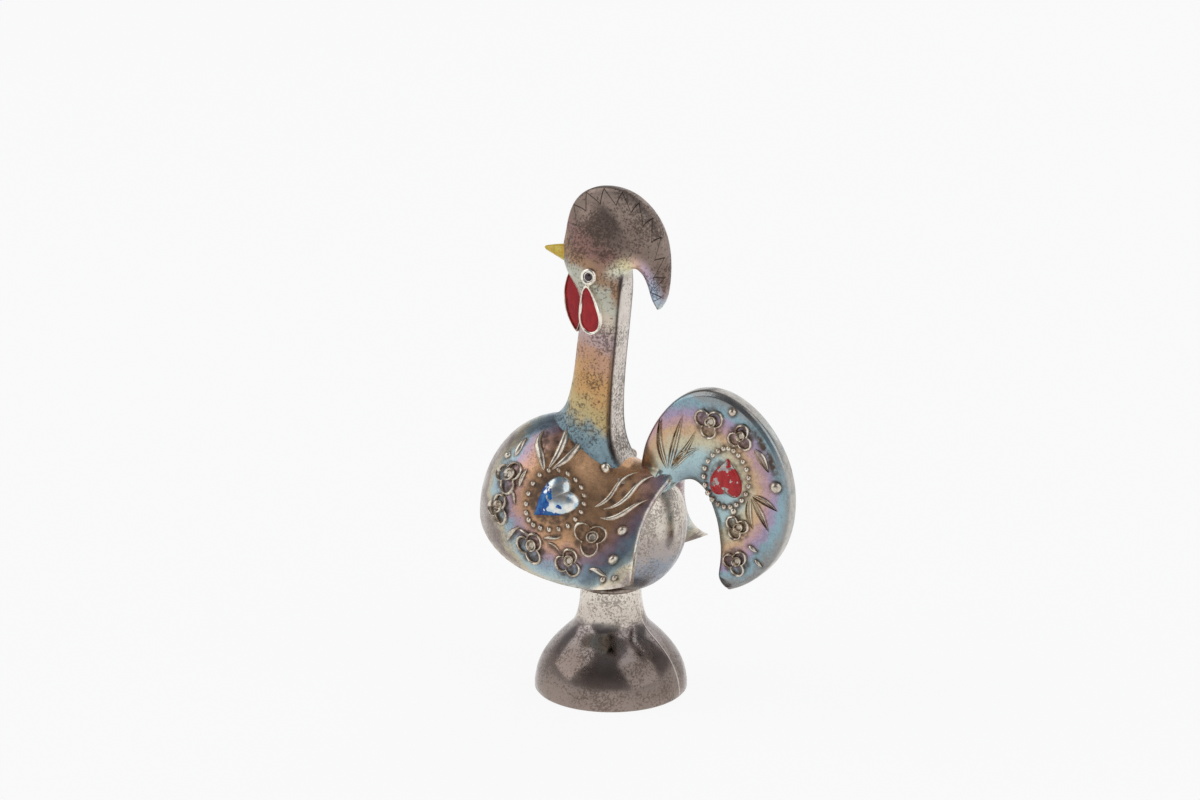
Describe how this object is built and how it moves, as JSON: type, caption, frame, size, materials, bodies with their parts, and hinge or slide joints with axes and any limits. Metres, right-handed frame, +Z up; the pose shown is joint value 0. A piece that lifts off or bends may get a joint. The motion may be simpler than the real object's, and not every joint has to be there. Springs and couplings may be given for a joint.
{
  "type": "rooster figurine",
  "caption": "Silver rooster ornament on a bell foot, with comb, enamelled drops and hearts, and raised flowers on wings and sickle tail.",
  "frame": {"origin": "middle of the face that the foot rests on", "axes": "X runs from the beak back to the tail, Y from the bird's left to its right, Z up from the resting face"},
  "size_m": [0.1019, 0.0578, 0.1566],
  "materials": {
    "foot_silver": "polished, speckled with tarnish",
    "plate_silver": "dull",
    "belly_silver": "polished",
    "toned_silver": "polished with purple, blue and gold toning",
    "bright_silver": "polished relief with dark recesses",
    "dark_silver": "tarnished",
    "red_enamel": "glossy red enamel, worn",
    "blue_enamel": "glossy blue enamel, worn",
    "yellow_enamel": "glossy yellow enamel"
  },
  "bodies": {
    "root": {"beak": "yellow_enamel", "belly": "belly_silver", "comb": "toned_silver", "foot_bell": "foot_silver", "foot_plate": "plate_silver", "head": "toned_silver", "left_ear_cup": "bright_silver", "left_ear_enamel": "red_enamel", "left_eye": "bright_silver", "left_pupil": "dark_silver", "left_tail_beads": "bright_silver", "left_tail_flowers": "bright_silver", "left_tail_heart": "red_enamel", "left_tail_leaves": "bright_silver", "left_tail_studs": "bright_silver", "left_wattle": "bright_silver", "left_wattle_enamel": "red_enamel", "left_wing_beads": "bright_silver", "left_wing_flowers": "bright_silver", "left_wing_heart": "blue_enamel", "left_wing_leaves": "bright_silver", "left_wing_shell": "toned_silver", "left_wing_studs": "bright_silver", "neck": "toned_silver", "right_ear_cup": "bright_silver", "right_ear_enamel": "red_enamel", "right_eye": "bright_silver", "right_pupil": "dark_silver", "right_tail_beads": "bright_silver", "right_tail_flowers": "bright_silver", "right_tail_heart": "red_enamel", "right_tail_leaves": "bright_silver", "right_tail_studs": "bright_silver", "right_wattle": "bright_silver", "right_wattle_enamel": "red_enamel", "right_wing_beads": "bright_silver", "right_wing_flowers": "bright_silver", "right_wing_heart": "blue_enamel", "right_wing_leaves": "bright_silver", "right_wing_shell": "toned_silver", "right_wing_studs": "bright_silver", "stem_collar": "foot_silver", "tail": "toned_silver"}
  },
  "joints": []
}
